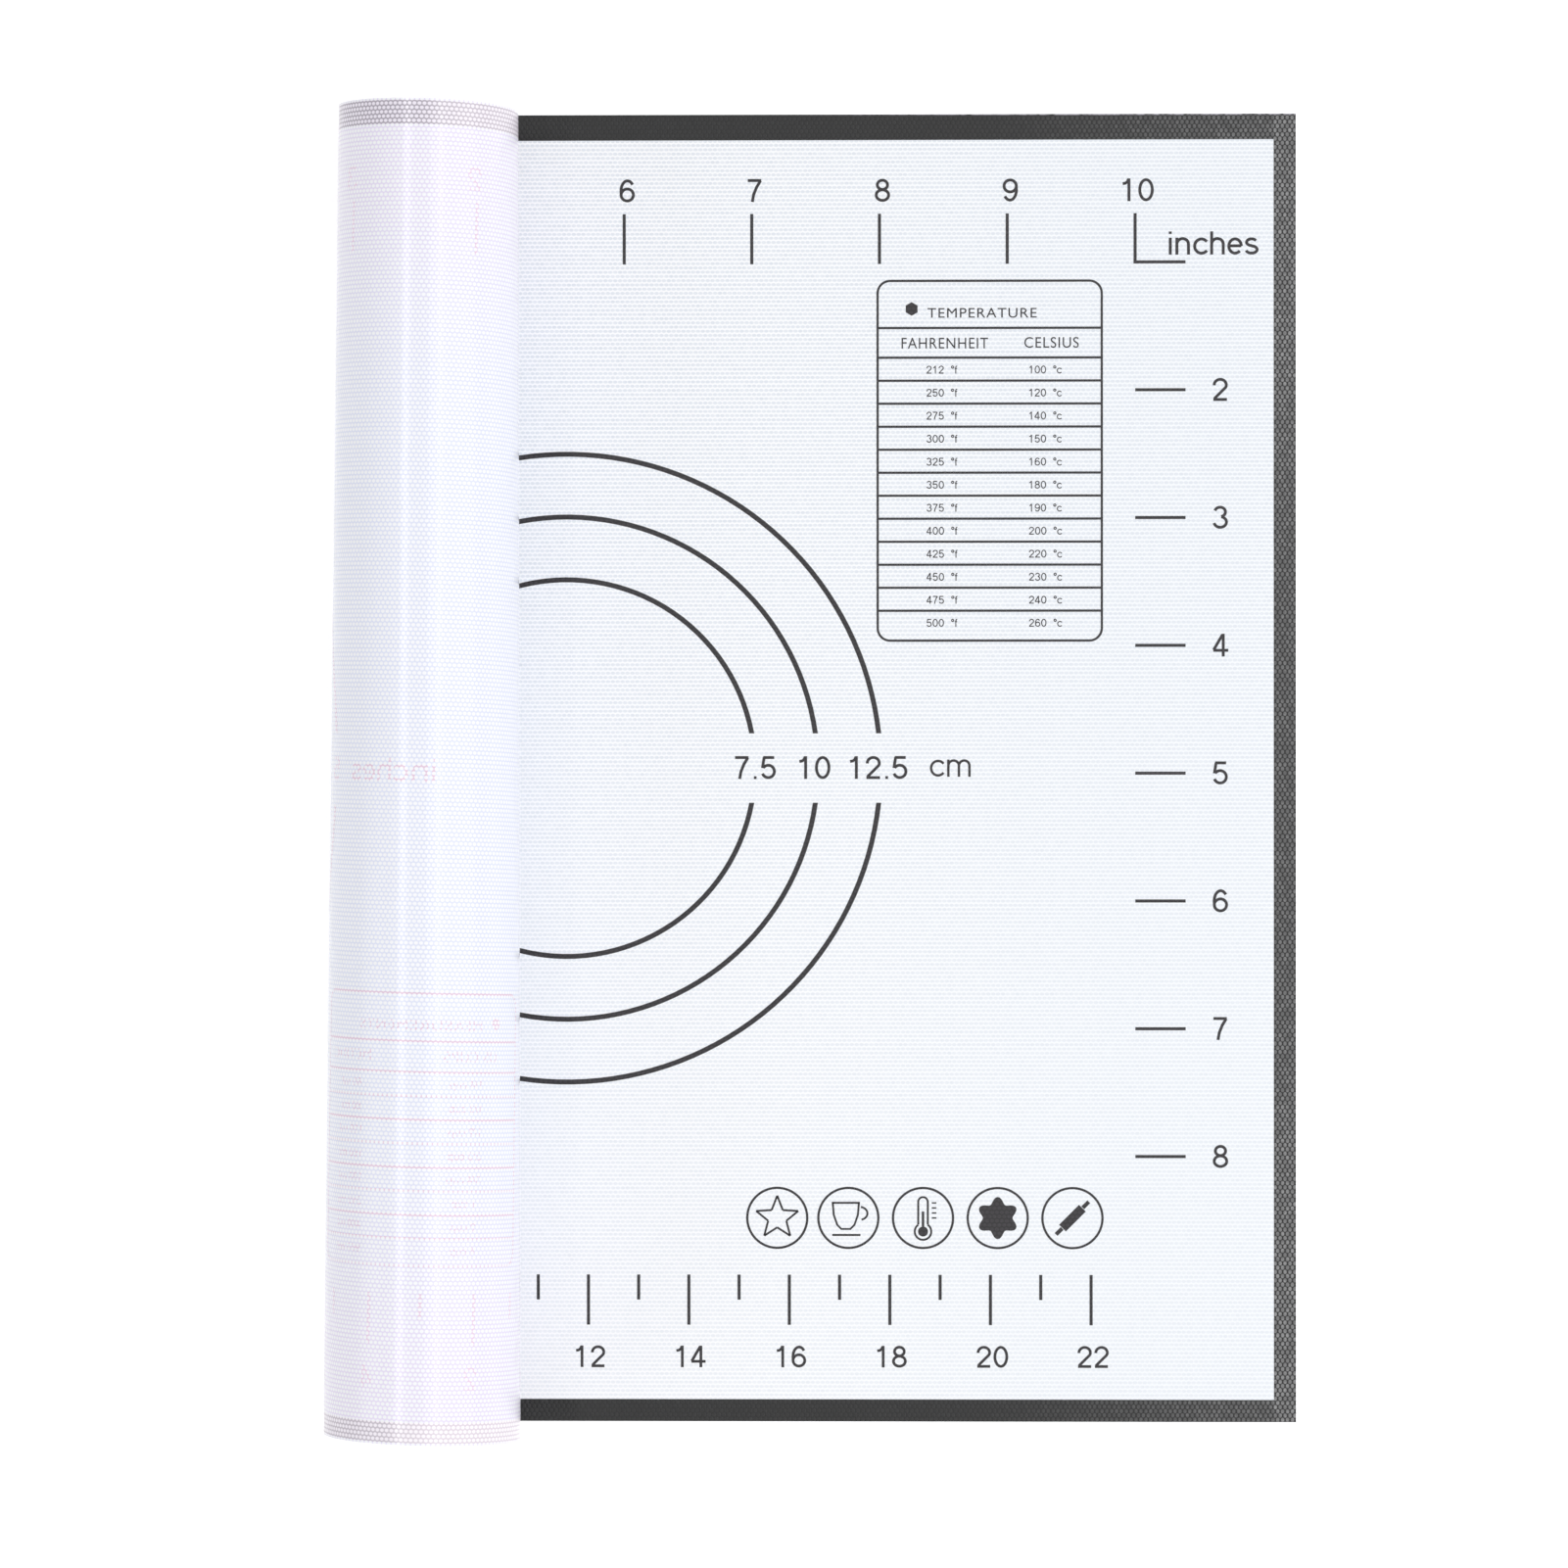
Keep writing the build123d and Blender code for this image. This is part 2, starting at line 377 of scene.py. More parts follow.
def underside(name, net_colour):
    finish = Finish(name, 0.15)
    finish.shade("Specular IOR Level", 0.35)
    _, across, along = cloth_place(finish)
    dots = thread_dots(finish, across, along, UNDER_DOT_SIZE, UNDER_DOT_SIZE)
    on_band, open_x, open_y = band_mask(finish, CUT_RIM)
    far_left = (open_x * -1).smooth(FADE_START, FADE_END)
    at_front = (open_y * -1).above(0)
    paler = far_left * LEFT_PALER + at_front * FRONT_PALER
    band_net = finish.blend(paler, BAND_NET, PALE_BAND_NET)
    band_dot = finish.blend(paler, BAND_DOT, PALE_BAND_DOT)
    near_ends = (open_y * open_y).smooth(PINK_START**2, PINK_END**2)
    net = finish.blend(near_ends * PINK_SHARE, net_colour, PINKISH_NET)
    net = finish.blend(on_band, net, band_net)
    dot = finish.blend(on_band, UNDER_DOT, band_dot)
    finish.shade("Base Color", finish.blend(dots, net, dot))
    finish.bump(dots, 0.05 * MM, 0.3)
    return finish


under_face = underside("silicone_underside", NET)
seen_through = underside("print_seen_through", SEEN_THROUGH_NET)
print("underside nodes:", len(under_face.tree.nodes))

# %% [markdown]
# ## The dark band and the ink
#
# The band is a black coat over the same cloth. Its threads show as grey lozenges, as a
# painted highlight where the light catches them: faint everywhere, stronger to the
# right and strongest near the ends of the right side. Along the back a pale cut edge
# shows here and there. The ink of the marks is a thin grey-black film. Both read
# Object coordinates, because the CAD's own pieces have no UV map, and all pieces sit
# at the origin.

# %% Band and ink
BAND_COLOUR = linear(11, 11, 12)
BAND_THREAD_HIGHLIGHT = linear(144, 144, 145)
BAND_DOT_WIDTH, BAND_DOT_HEIGHT = 0.4, 0.64
SIDE_HIGHLIGHT_REACH = 89.4 * MM
CUT_EDGE = linear(172, 169, 180)
CUT_EDGE_WIDTH = 0.22 * MM
INK_COLOUR = linear(22, 20, 23)
INK_WORN = linear(58, 54, 60)
INK_DOT_SIZE = 0.5


def object_place(finish):
    coordinates = finish.node("ShaderNodeTexCoord", output="Object")
    return coordinates, *finish.split(coordinates)


dark_band = Finish("dark_silicone_band", 0.38)
dark_band.shade("Specular IOR Level", 0.32)
position, across, along = object_place(dark_band)
raised = thread_dots(dark_band, across, along, BAND_DOT_WIDTH, BAND_DOT_HEIGHT)
uneven = dark_band.noise(position, 900, 3)
# Painted highlight: grey threads where the light catches the band, most to the right and near the
# ends of the right side.
near_side_ends = (along * along).smooth(0, SIDE_HIGHLIGHT_REACH**2)
on_side = across.above(flat_high.x - BAND_SIDE) * near_side_ends
painted_highlight = 0.04 + across.smooth(30 * MM, 100 * MM) * 0.48 + on_side * 0.34
threads = raised * painted_highlight * (0.6 + uneven.smooth(0.35, 0.75) * 0.6)
band_tone = dark_band.blend(threads, BAND_COLOUR, BAND_THREAD_HIGHLIGHT)
at_back = along.above(flat_high.y - CUT_EDGE_WIDTH)
cut_edge = at_back * across.smooth(-20 * MM, 80 * MM) * uneven.smooth(0.3, 0.6)
dark_band.shade("Base Color", dark_band.blend(cut_edge, band_tone, CUT_EDGE))
dark_band.bump(raised, 0.06 * MM, 0.4)

print_ink = Finish("print_ink", 0.45)
print_ink.shade("Specular IOR Level", 0.36)
position, across, along = object_place(print_ink)
thread = thread_dots(print_ink, across, along, INK_DOT_SIZE, INK_DOT_SIZE)
speckle = print_ink.noise(position, 2600, 2)
print_ink.shade("Base Color", print_ink.blend(speckle * thread, INK_COLOUR, INK_WORN))
print_ink.bump(thread, 0.03 * MM, 0.4)
print("finishes:", [m.name for m in bpy.data.materials])

# %% [markdown]
# ## Everything starts flat
#
# The sheet and all the marks are first made on the open mat, where a ruler line is a
# simple rectangle. Only then are they cut along the bending lines and carried to their
# place in the roll. That way a circle that runs into the roll is still one circle.

# %% Shapes on the open mat
def add_rectangle(bm, left, front, right, back):
    middle = Matrix.Translation(((left + right) / 2, (front + back) / 2, 0))
    size = Matrix.Diagonal((right - left, back - front, 1, 1))
    bmesh.ops.create_grid(bm, x_segments=1, y_segments=1, size=0.5, matrix=middle @ size)


def add_disc(bm, x, y, radius, segments=48):
    made = bmesh.ops.create_circle(
        bm, cap_ends=True, segments=segments, radius=radius, matrix=Matrix.Translation((x, y, 0))
    )
    return made["verts"]


def add_ring(bm, x, y, radius, line, segments=64):
    """A printed circle: a disc, inset by the width of the line, with its middle removed."""
    corners = add_disc(bm, x, y, radius, segments)
    face = corners[0].link_faces[0]
    bmesh.ops.inset_individual(bm, faces=[face], thickness=line, use_even_offset=True)
    bmesh.ops.delete(bm, geom=[face], context="FACES_ONLY")


# %% [markdown]
# ## Figures drawn as strokes
#
# The printed figures are light and even, like figures drawn with one pen. So each one
# is a few strokes: straight runs and parts of ellipses, in a box that is 1 high. A
# curve with some extrusion, tilted on its side, is a flat ribbon of constant width,
# which is just what a pen leaves. Strokes that cross lie a hair above each other.
# `ADVANCE` holds how far the next letter starts, where that isn't a figure's width.

# %% Parts of a figure
PEN = 0.128
THIN_PEN = 0.105
LAP = 0.015
FIGURE_ADVANCE = 0.78
ARC_STEP = 12


def sweep(x, y, half_width, half_height, start, end):
    """Points along part of an ellipse, from one angle to another in degrees."""
    count = max(round(abs(end - start) / ARC_STEP), 2)
    angles = [math.radians(start + (end - start) * step / count) for step in range(count + 1)]
    return [(x + half_width * math.cos(a), y + half_height * math.sin(a)) for a in angles]


SIX = [
    sweep(0.39, 0.32, 0.27, 0.2625, 0, 360),
    sweep(0.40, 0.5, 0.285, 0.4425, 38, 180) + [(0.12, 0.34)],
]
ARCH = sweep(0.41, 0.455, 0.25, 0.235, 180, 0)
NARROW_ARCH = sweep(0.378, 0.47, 0.223, 0.22, 180, 0)

# %% The strokes of each figure and letter
STROKES = {
    "0": [sweep(0.39, 0.5, 0.275, 0.4425, 0, 360)],
    "1": [
        [(0.42, 0), (0.42, 1)],
        [(0.145, 0.77), (0.27, 0.79), (0.355, 0.86), (0.40, 0.97)],
    ],
    "2": [
        sweep(0.385, 0.70, 0.265, 0.2425, 185, -28) + [(0.13, 0.10)],
        [(0.08, 0.0575), (0.68, 0.0575)],
    ],
    "3": [
        sweep(0.37, 0.735, 0.235, 0.2075, 165, -78),
        sweep(0.375, 0.29, 0.275, 0.2325, 80, -170),
    ],
    "4": [[(0.47, 0.96), (0.08, 0.29)], [(0.06, 0.27), (0.72, 0.27)], [(0.50, 0), (0.50, 1)]],
    "5": [
        [(0.16, 0.9425), (0.64, 0.9425)],
        [(0.20, 0.95), (0.125, 0.48)],
        sweep(0.38, 0.33, 0.27, 0.2725, 145, -160),
    ],
    "6": SIX,
    "7": [
        [(0.09, 0.9425), (0.68, 0.9425)],
        [(0.65, 0.93), (0.48, 0.65), (0.35, 0.33), (0.29, 0)],
    ],
    "8": [
        sweep(0.39, 0.74, 0.225, 0.2025, 0, 360),
        sweep(0.39, 0.29, 0.275, 0.2325, 0, 360),
    ],
    "9": [[(FIGURE_ADVANCE - x, 1 - y) for x, y in stroke] for stroke in SIX],
    ".": [[(0.135, 0.0575), (0.255, 0.0575)]],
    "c": [sweep(0.4, 0.365, 0.295, 0.3075, 38, 322)],
    "e": [sweep(0.39, 0.365, 0.27, 0.3075, 0, 318), [(0.12, 0.375), (0.66, 0.375)]],
    "f": [
        [(0.19, 0), (0.19, 0.8)] + sweep(0.34, 0.79, 0.15, 0.15, 150, 80),
        [(0.06, 0.66), (0.35, 0.66)],
    ],
    "h": [[(0.16, 0), (0.16, 1)], ARCH + [(0.66, 0)]],
    "i": [[(0.155, 0), (0.155, 0.73)], [(0.155, 0.89), (0.155, 1)]],
    "l": [[(0.155, 0), (0.155, 1)]],
    "m": [
        [(0.155, 0), (0.155, 0.73)],
        NARROW_ARCH + [(0.601, 0)],
        [(x + 0.446, y) for x, y in NARROW_ARCH] + [(1.047, 0)],
    ],
    "n": [[(0.16, 0), (0.16, 0.73)], ARCH + [(0.66, 0)]],
    "p": [[(0.155, 0.73), (0.155, -0.25)], sweep(0.42, 0.365, 0.25, 0.3075, 0, 360)],
    "s": [
        sweep(0.365, 0.53, 0.215, 0.1425, 28, 262)
        + sweep(0.365, 0.2125, 0.24, 0.155, 82, -165)
    ],
    "u": [
        [(0.155, 0.73)] + sweep(0.385, 0.29, 0.23, 0.235, 180, 360),
        [(0.615, 0), (0.615, 0.73)],
    ],
    "/": [[(0.03, 0), (0.4, 1)]],
    "\u00b0": [sweep(0.28, 0.82, 0.14, 0.14, 0, 360)],
    " ": [],
}
ADVANCE = {
    "m": 1.21, "n": 0.82, "c": 0.68, "e": 0.735, "s": 0.72, "f": 0.39, "i": 0.28, "l": 0.31,
    ".": 0.39, "/": 0.43, " ": 0.39, "\u00b0": 0.5,
}
print("figures and letters drawn:", len(STROKES))


# %% A flat ribbon along a stroke
def ribbon(bm, points, width, height):
    """A flat strip of constant width along a line of points."""
    curve = bpy.data.curves.new("stroke", "CURVE")
    curve.dimensions = "3D"
    curve.twist_mode = "Z_UP"
    curve.extrude = width / 2
    line = curve.splines.new("POLY")
    closed = (Vector(points[0]) - Vector(points[-1])).length < 1e-6
    corners = points[:-1] if closed else points
    line.points.add(len(corners) - 1)
    line.use_cyclic_u = closed
    for corner, (x, y) in zip(line.points, corners):
        corner.co = (x, y, height, 1)
        corner.tilt = math.pi / 2
    holder = bpy.data.objects.new("stroke", curve)
    mesh = bpy.data.meshes.new_from_object(holder)
    bm.from_mesh(mesh)
    bpy.data.objects.remove(holder)
    bpy.data.curves.remove(curve)
    bpy.data.meshes.remove(mesh)


test_stroke = bmesh.new()
ribbon(test_stroke, STROKES["1"][0], PEN, 0)
sides = zip(*(corner.co for corner in test_stroke.verts))
print("a straight stroke measures", [round(max(side) - min(side), 3) for side in sides])
test_stroke.free()


# %% Figures and words
def add_figures(bm, text, x, y, height, pen=PEN):
    """Text in strokes, centred on a point. The height is that of its figures."""
    drawn = bmesh.new()
    reached = 0
    for letter in text:
        for lap, stroke in enumerate(STROKES[letter]):
            moved = [(reached + across, up) for across, up in stroke]
            ribbon(drawn, moved, pen, lap * LAP)
        reached += ADVANCE.get(letter, FIGURE_ADVANCE)
    sides = [v.co.x for v in drawn.verts]
    middle = Matrix.Translation((-(min(sides) + max(sides)) / 2, -0.5, 0))
    scale = Matrix.Diagonal((height, height, 0.1 * MM, 1))
    drawn.transform(Matrix.Translation((x, y, 0)) @ scale @ middle)
    mesh = bpy.data.meshes.new("figures")
    drawn.to_mesh(mesh)
    drawn.free()
    bm.from_mesh(mesh)
    bpy.data.meshes.remove(mesh)


HEADING_SPACING = 1.12


def add_heading(bm, text, x, y, height, width):
    """A heading in Blender's own plain capitals, fitted to a height and a width."""
    curve = bpy.data.curves.new("heading", "FONT")
    curve.body = text
    curve.space_character = HEADING_SPACING
    holder = bpy.data.objects.new("heading", curve)
    mesh = bpy.data.meshes.new_from_object(holder)
    across = [v.co.x for v in mesh.vertices]
    up = [v.co.y for v in mesh.vertices]
    left, right, foot, top = min(across), max(across), min(up), max(up)
    middle = Matrix.Translation((-(left + right) / 2, -(foot + top) / 2, 0))
    scale = Matrix.Diagonal((width / (right - left), height / (top - foot), 1, 1))
    mesh.transform(Matrix.Translation((x, y, 0)) @ scale @ middle)
    bm.from_mesh(mesh)
    bpy.data.objects.remove(holder)
    bpy.data.curves.remove(curve)
    bpy.data.meshes.remove(mesh)


# %% [markdown]
# ## The rulers, circles and tables
#
# The CAD already holds the plain lines on the flat part, so those are only given their
# ink. The lines that run into the roll are drawn again here, together with all the
# figures. The words are plain units and headings. A second table, of cups and
# millilitres, is rolled up: its frame and rows show faintly through the roll.

# %% Lines of the whole mat
INCH = 25.4 * MM
CENTIMETRE = 10 * MM
RULER_LINE = 0.62 * MM
INCH_TOP = 110.25 * MM
INCH_FOOT = 100.25 * MM
INCH_END = 113.1 * MM
INCH_COUNT = 10
SIDE_COUNT = 7
CM_TOP = -100.8 * MM
CM_ZERO = -115.7 * MM
CM_COUNT = 22
CM_LONG, CM_SHORT = 10 * MM, 5 * MM
CIRCLE_RADII = [37.5 * MM, 50 * MM, 62.5 * MM]
CIRCLE_LINE = 1 * MM
CIRCLE_GAP = 6.9 * MM

lines = bmesh.new()
for count in range(INCH_COUNT):
    x = INCH_END - INCH * count
    add_rectangle(lines, x - RULER_LINE / 2, INCH_FOOT, x + RULER_LINE / 2, INCH_TOP)
for count in range(CM_COUNT + 1):
    x = CM_ZERO + CENTIMETRE * count
    foot = CM_TOP - (CM_SHORT if count % 2 else CM_LONG)
    add_rectangle(lines, x - RULER_LINE / 2, foot, x + RULER_LINE / 2, CM_TOP)
for radius in CIRCLE_RADII:
    add_ring(lines, 0, 0, radius + CIRCLE_LINE / 2, CIRCLE_LINE, segments=128)
for level in (-CIRCLE_GAP, CIRCLE_GAP):
    everything = lines.verts[:] + lines.edges[:] + lines.faces[:]
    bmesh.ops.bisect_plane(lines, geom=everything, plane_co=(0, level, 0), plane_no=(0, 1, 0))
in_gap = [f for f in lines.faces if abs(f.calc_center_median().y) < CIRCLE_GAP]
bmesh.ops.delete(lines, geom=in_gap, context="FACES")
print("ruler and circle faces:", len(lines.faces))

# %% The small table that is rolled up
TABLE_LEFT, TABLE_RIGHT = -106.7 * MM, -61.7 * MM
TABLE_LINE = 0.46 * MM
TABLE_CORNER = 2.5 * MM
CUP_TOP = -42.9 * MM
CUP_HEAD = -52.1 * MM
CUP_ROWS = -58.1 * MM
CUP_END = -95.4 * MM
ROW_STEP = 4.577 * MM
DOT_X, DOT_Y = -99.6 * MM, -48.6 * MM
DOT_RADIUS = 1.2 * MM
CUPS = [
    ("1/4", 60), ("1/3", 80), ("1/2", 120), ("2/3", 160),
    ("3/4", 180), ("1", 240), ("2", 480), ("4", 960),
]


def rounded_frame(left, bottom, right, top, corner):
    """Points round a rectangle with round corners, back to the first point."""
    points = []
    for x, y, start in (
        (right - corner, top - corner, 90),
        (right - corner, bottom + corner, 0),
        (left + corner, bottom + corner, -90),
        (left + corner, top - corner, -180),
    ):
        points += sweep(x, y, corner, corner, start, start - 90)
    return points + points[:1]


table_frame = rounded_frame(TABLE_LEFT, CUP_END, TABLE_RIGHT, CUP_TOP, TABLE_CORNER)
ribbon(lines, table_frame, TABLE_LINE, 0)
row_lines = [CUP_HEAD] + [CUP_ROWS - ROW_STEP * row for row in range(len(CUPS))]
for y in row_lines:
    add_rectangle(
        lines,
        TABLE_LEFT + TABLE_LINE / 2,
        y - TABLE_LINE / 2,
        TABLE_RIGHT - TABLE_LINE / 2,
        y + TABLE_LINE / 2,
    )
add_disc(lines, DOT_X, DOT_Y, DOT_RADIUS, segments=6)

# %% Figures and units
FIGURE = 4.52 * MM
CM_FIGURE = 4.3 * MM
INCH_FIGURES_Y = 114.9 * MM
SIDE_FIGURES_X = 130 * MM
CM_FIGURES_Y = -117.1 * MM
INCH_NUDGE, SIDE_NUDGE, CM_NUDGE = 0.6 * MM, 0.35 * MM, 0.4 * MM
LABEL_Y = 0.1 * MM
CIRCLE_LABELS = [
    ("7.5", 37.6), ("10", 49.4), ("12.5", 62.1), ("3", -37.5), ("4", -50), ("5", -62.5),
]

figures = bmesh.new()
for count in range(INCH_COUNT):
    x = INCH_END - INCH * count + INCH_NUDGE
    add_figures(figures, str(INCH_COUNT - count), x, INCH_FIGURES_Y, FIGURE)
for count in range(1, SIDE_COUNT + 1):
    y = INCH_FOOT - INCH * count + SIDE_NUDGE
    add_figures(figures, str(count + 1), SIDE_FIGURES_X, y, FIGURE)
for count in range(0, CM_COUNT + 1, 2):
    x = CM_ZERO + CENTIMETRE * count + CM_NUDGE
    add_figures(figures, str(count), x, CM_FIGURES_Y, CM_FIGURE)
for text, x in CIRCLE_LABELS:
    add_figures(figures, text, x * MM, LABEL_Y, FIGURE)
add_figures(figures, "cm", 76.35 * MM, 0.6 * MM, 4.7 * MM, pen=THIN_PEN)
add_figures(figures, "inches", -76.6 * MM, LABEL_Y, FIGURE)
add_figures(figures, "inches", 128.7 * MM, 104.3 * MM, 4.6 * MM)
print("figure faces so far:", len(figures.faces))

# %% The words of the two tables
SMALL = 1.55 * MM
TITLE, COLUMN_HEAD = 1.95, 2.14
HEADINGS = [
    ("TEMPERATURE", 82.7, 90.5, TITLE, 21.7),
    ("FAHRENHEIT", 75.3, 84.5, COLUMN_HEAD, 17.2),
    ("CELSIUS", 96.5, 84.6, COLUMN_HEAD, 10.8),
]
CUP_HEADINGS = [
    ("MEASUREMENTS", -84, -49, TITLE, 24),
    ("US CUPS", -94.1, -55, COLUMN_HEAD, 11.4),
    ("METRIC", -69.5, -55, COLUMN_HEAD, 10.4),
]
FAHRENHEIT_X, CELSIUS_X = 74.7 * MM, 95.3 * MM
CUPS_X, MILLILITRES_X = -93 * MM, -70 * MM
OVEN = [
    (212, 100), (250, 120), (275, 140), (300, 150), (325, 160), (350, 180),
    (375, 190), (400, 200), (425, 220), (450, 230), (475, 240), (500, 260),
]
ROW_TOP = 81.5 * MM

for text, *sizes in HEADINGS:
    add_heading(figures, text, *(size * MM for size in sizes))
for row, (fahrenheit, celsius) in enumerate(OVEN):
    y = ROW_TOP - ROW_STEP * (row + 0.5)
    add_figures(figures, f"{fahrenheit}  \u00b0f", FAHRENHEIT_X, y, SMALL)
    add_figures(figures, f"{celsius}  \u00b0c", CELSIUS_X, y, SMALL)
for row, (cups, millilitres) in enumerate(CUPS):
    y = CUP_ROWS - ROW_STEP * (row + 0.5)
    add_figures(figures, f"{cups} cup", CUPS_X, y, SMALL)
    add_figures(figures, f"{millilitres} ml", MILLILITRES_X, y, SMALL)
for text, *sizes in CUP_HEADINGS:
    add_heading(figures, text, *(size * MM for size in sizes))

# %% [markdown]
# ## The five badges
#
# Each ring near the front edge holds a small picture. They are plain kitchen shapes: a
# star and a flower as cutters make them, a cup, a thermometer and a rolling pin.

# %% Tools for the small pictures
BADGE_Y = -89.5 * MM
BADGE_X = [x * MM for x in (41.9, 56.05, 70.9, 85.75, 100.6)]
BADGE_LINE = 0.4 * MM


def add_petals(bm, x, y, radius, points, depth, segments):
    """A disc whose edge swings in and out, for a flower."""
    for corner in add_disc(bm, x, y, radius, segments):
        arm = corner.co - Vector((x, y, 0))
        turn = math.atan2(arm.x, arm.y)
        corner.co = Vector((x, y, 0)) + arm * (1 - depth * (1 - math.cos(points * turn)) / 2)


def add_bar(bm, x, y, length, width, turn):
    place = Matrix.Translation((x, y, 0)) @ Matrix.Rotation(turn, 4, "Z")
    size = Matrix.Diagonal((length, width, 1, 1))
    bmesh.ops.create_grid(bm, x_segments=1, y_segments=1, size=0.5, matrix=place @ size)


# %% Star, flower and rolling pin
STAR_CORNERS = 10
STAR_TIP, STAR_NOTCH = 4.4 * MM, 1.9 * MM
FLOWER_RADIUS, PETALS, PETAL_DEPTH = 4.2 * MM, 6, 0.3
PIN_TURN = math.radians(45)
PIN_LENGTH, PIN_WIDTH = 5.6 * MM, 1.9 * MM
GRIP_PLACE, GRIP_LENGTH, GRIP_WIDTH = 3.75 * MM, 1.7 * MM, 0.8 * MM

star_x, cup_x, heat_x, flower_x, pin_x = BADGE_X
star = []
for corner in range(STAR_CORNERS + 1):
    turn = math.tau * corner / STAR_CORNERS
    reach = STAR_NOTCH if corner % 2 else STAR_TIP
    star.append((star_x + reach * math.sin(turn), BADGE_Y + reach * math.cos(turn)))
for side in zip(star, star[1:]):
    ribbon(figures, list(side), BADGE_LINE, 0)
add_petals(figures, flower_x, BADGE_Y, FLOWER_RADIUS, PETALS, PETAL_DEPTH, segments=72)
add_bar(figures, pin_x, BADGE_Y, PIN_LENGTH, PIN_WIDTH, PIN_TURN)
for side in (-1, 1):
    grip_x = pin_x + side * GRIP_PLACE * math.cos(PIN_TURN)
    grip_y = BADGE_Y + side * GRIP_PLACE * math.sin(PIN_TURN)
    add_bar(figures, grip_x, grip_y, GRIP_LENGTH, GRIP_WIDTH, PIN_TURN)

# %% Thermometer
TUBE_RADIUS = 0.95 * MM
TUBE_FOOT, TUBE_TOP = BADGE_Y - 1.3 * MM, BADGE_Y + 3.2 * MM
BULB_RADIUS = 1.65 * MM
BULB_Y = BADGE_Y - 2.7 * MM
MERCURY_RADIUS, COLUMN_WIDTH, COLUMN_HEIGHT = 1.0 * MM, 0.5 * MM, 3 * MM
TICK_LENGTH, TICK_WIDTH = 0.9 * MM, 0.3 * MM

tube = [(heat_x - TUBE_RADIUS, TUBE_FOOT), (heat_x - TUBE_RADIUS, TUBE_TOP)]
tube += sweep(heat_x, TUBE_TOP, TUBE_RADIUS, TUBE_RADIUS, 170, 0)
tube += [(heat_x + TUBE_RADIUS, TUBE_FOOT)]
bulb = sweep(heat_x, BULB_Y, BULB_RADIUS, BULB_RADIUS, 55, -235)
ribbon(figures, tube, BADGE_LINE, 0)
ribbon(figures, bulb, BADGE_LINE, LAP * 0.1 * MM)
add_disc(figures, heat_x, BULB_Y, MERCURY_RADIUS, segments=24)
add_bar(figures, heat_x, BADGE_Y - 0.2 * MM, COLUMN_WIDTH, COLUMN_HEIGHT, 0)
for tick in range(4):
    add_bar(figures, heat_x + 2.2 * MM, BADGE_Y + tick * MM, TICK_LENGTH, TICK_WIDTH, 0)

# %% Cup
RIM_LENGTH = 5.6 * MM
cup_side = [
    (-3.1, 3.0), (-2.9, 0.6), (-2.2, -1.4), (-1.4, -2.2),
    (0.4, -2.2), (1.2, -1.4), (1.9, 0.6), (2.1, 3.0),
]
ribbon(figures, [(cup_x + x * MM, BADGE_Y + y * MM) for x, y in cup_side], BADGE_LINE, 0)
add_bar(figures, cup_x - 0.5 * MM, BADGE_Y + 3.0 * MM, RIM_LENGTH, BADGE_LINE, 0)
add_bar(figures, cup_x - 0.4 * MM, BADGE_Y - 3.4 * MM, RIM_LENGTH, BADGE_LINE, 0)
handle = sweep(cup_x + 2.2 * MM, BADGE_Y + 0.9 * MM, 1.6 * MM, 1.3 * MM, 80, -75)
ribbon(figures, handle, BADGE_LINE, 0)
print("figure faces:", len(figures.faces))

# %% [markdown]
# ## From flat shapes to thin solids
#
# Every shape gets a real thickness by extruding its faces once. The sheet is 0.7 mm
# thick, and the ink is a film of 0.03 mm on top of it. The lines beside the first
# crease are a little thinner than the CAD's, so that the two never share a face.

# %% Thickness
def thickened(flat, low, high):
    """A copy of flat faces as a closed solid between two heights."""
    solid = flat.copy()
    bmesh.ops.triangulate(solid, faces=[f for f in solid.faces if len(f.verts) > 4])
    bmesh.ops.translate(solid, verts=solid.verts, vec=(0, 0, low))
    made = bmesh.ops.extrude_face_region(solid, geom=solid.faces[:], use_keep_orig=True)
    raised = [g for g in made["geom"] if isinstance(g, bmesh.types.BMVert)]
    bmesh.ops.translate(solid, verts=raised, vec=(0, 0, high - low))
    bmesh.ops.recalc_face_normals(solid, faces=solid.faces)
    return solid


mat_outline = bmesh.new()
add_rectangle(mat_outline, LEFT, FRONT, RIGHT, BACK)
band_outline = bmesh.new()
add_rectangle(band_outline, LEFT, BACK - BAND_BACK, RIGHT, BACK)
add_rectangle(band_outline, LEFT, FRONT, RIGHT, FRONT + BAND_FRONT)
add_rectangle(band_outline, LEFT, FRONT + BAND_FRONT, LEFT + BAND_SIDE, BACK - BAND_BACK)
bmesh.ops.remove_doubles(band_outline, verts=band_outline.verts, dist=0.001 * MM)

marks = lines.copy()
spare = bpy.data.meshes.new("figures")
figures.to_mesh(spare)
marks.from_mesh(spare)
bpy.data.meshes.remove(spare)

UNDER_FILM = 0.02 * MM
LAP_SINK = 0.03 * MM
CREASE_INK = 0.027 * MM
layers = {
    "sheet": thickened(mat_outline, 0, THICKNESS),
    "band": thickened(band_outline, THICKNESS, THICKNESS + INK),
    "marks": thickened(marks, THICKNESS, THICKNESS + INK),
    "seen_through": thickened(marks, -UNDER_FILM, 0),
    "sheet_lap": thickened(mat_outline, LAP_SINK, THICKNESS - LAP_SINK),
    "band_lap": thickened(band_outline, THICKNESS - LAP_SINK, THICKNESS - LAP_SINK / 2),
    "marks_lap": thickened(marks, THICKNESS - LAP_SINK, THICKNESS - LAP_SINK / 2),
}
flat_figures = thickened(figures, THICKNESS, THICKNESS + INK)
crease_lines = thickened(lines, THICKNESS, THICKNESS + CREASE_INK)
print({name: len(layer.faces) for name, layer in layers.items()})


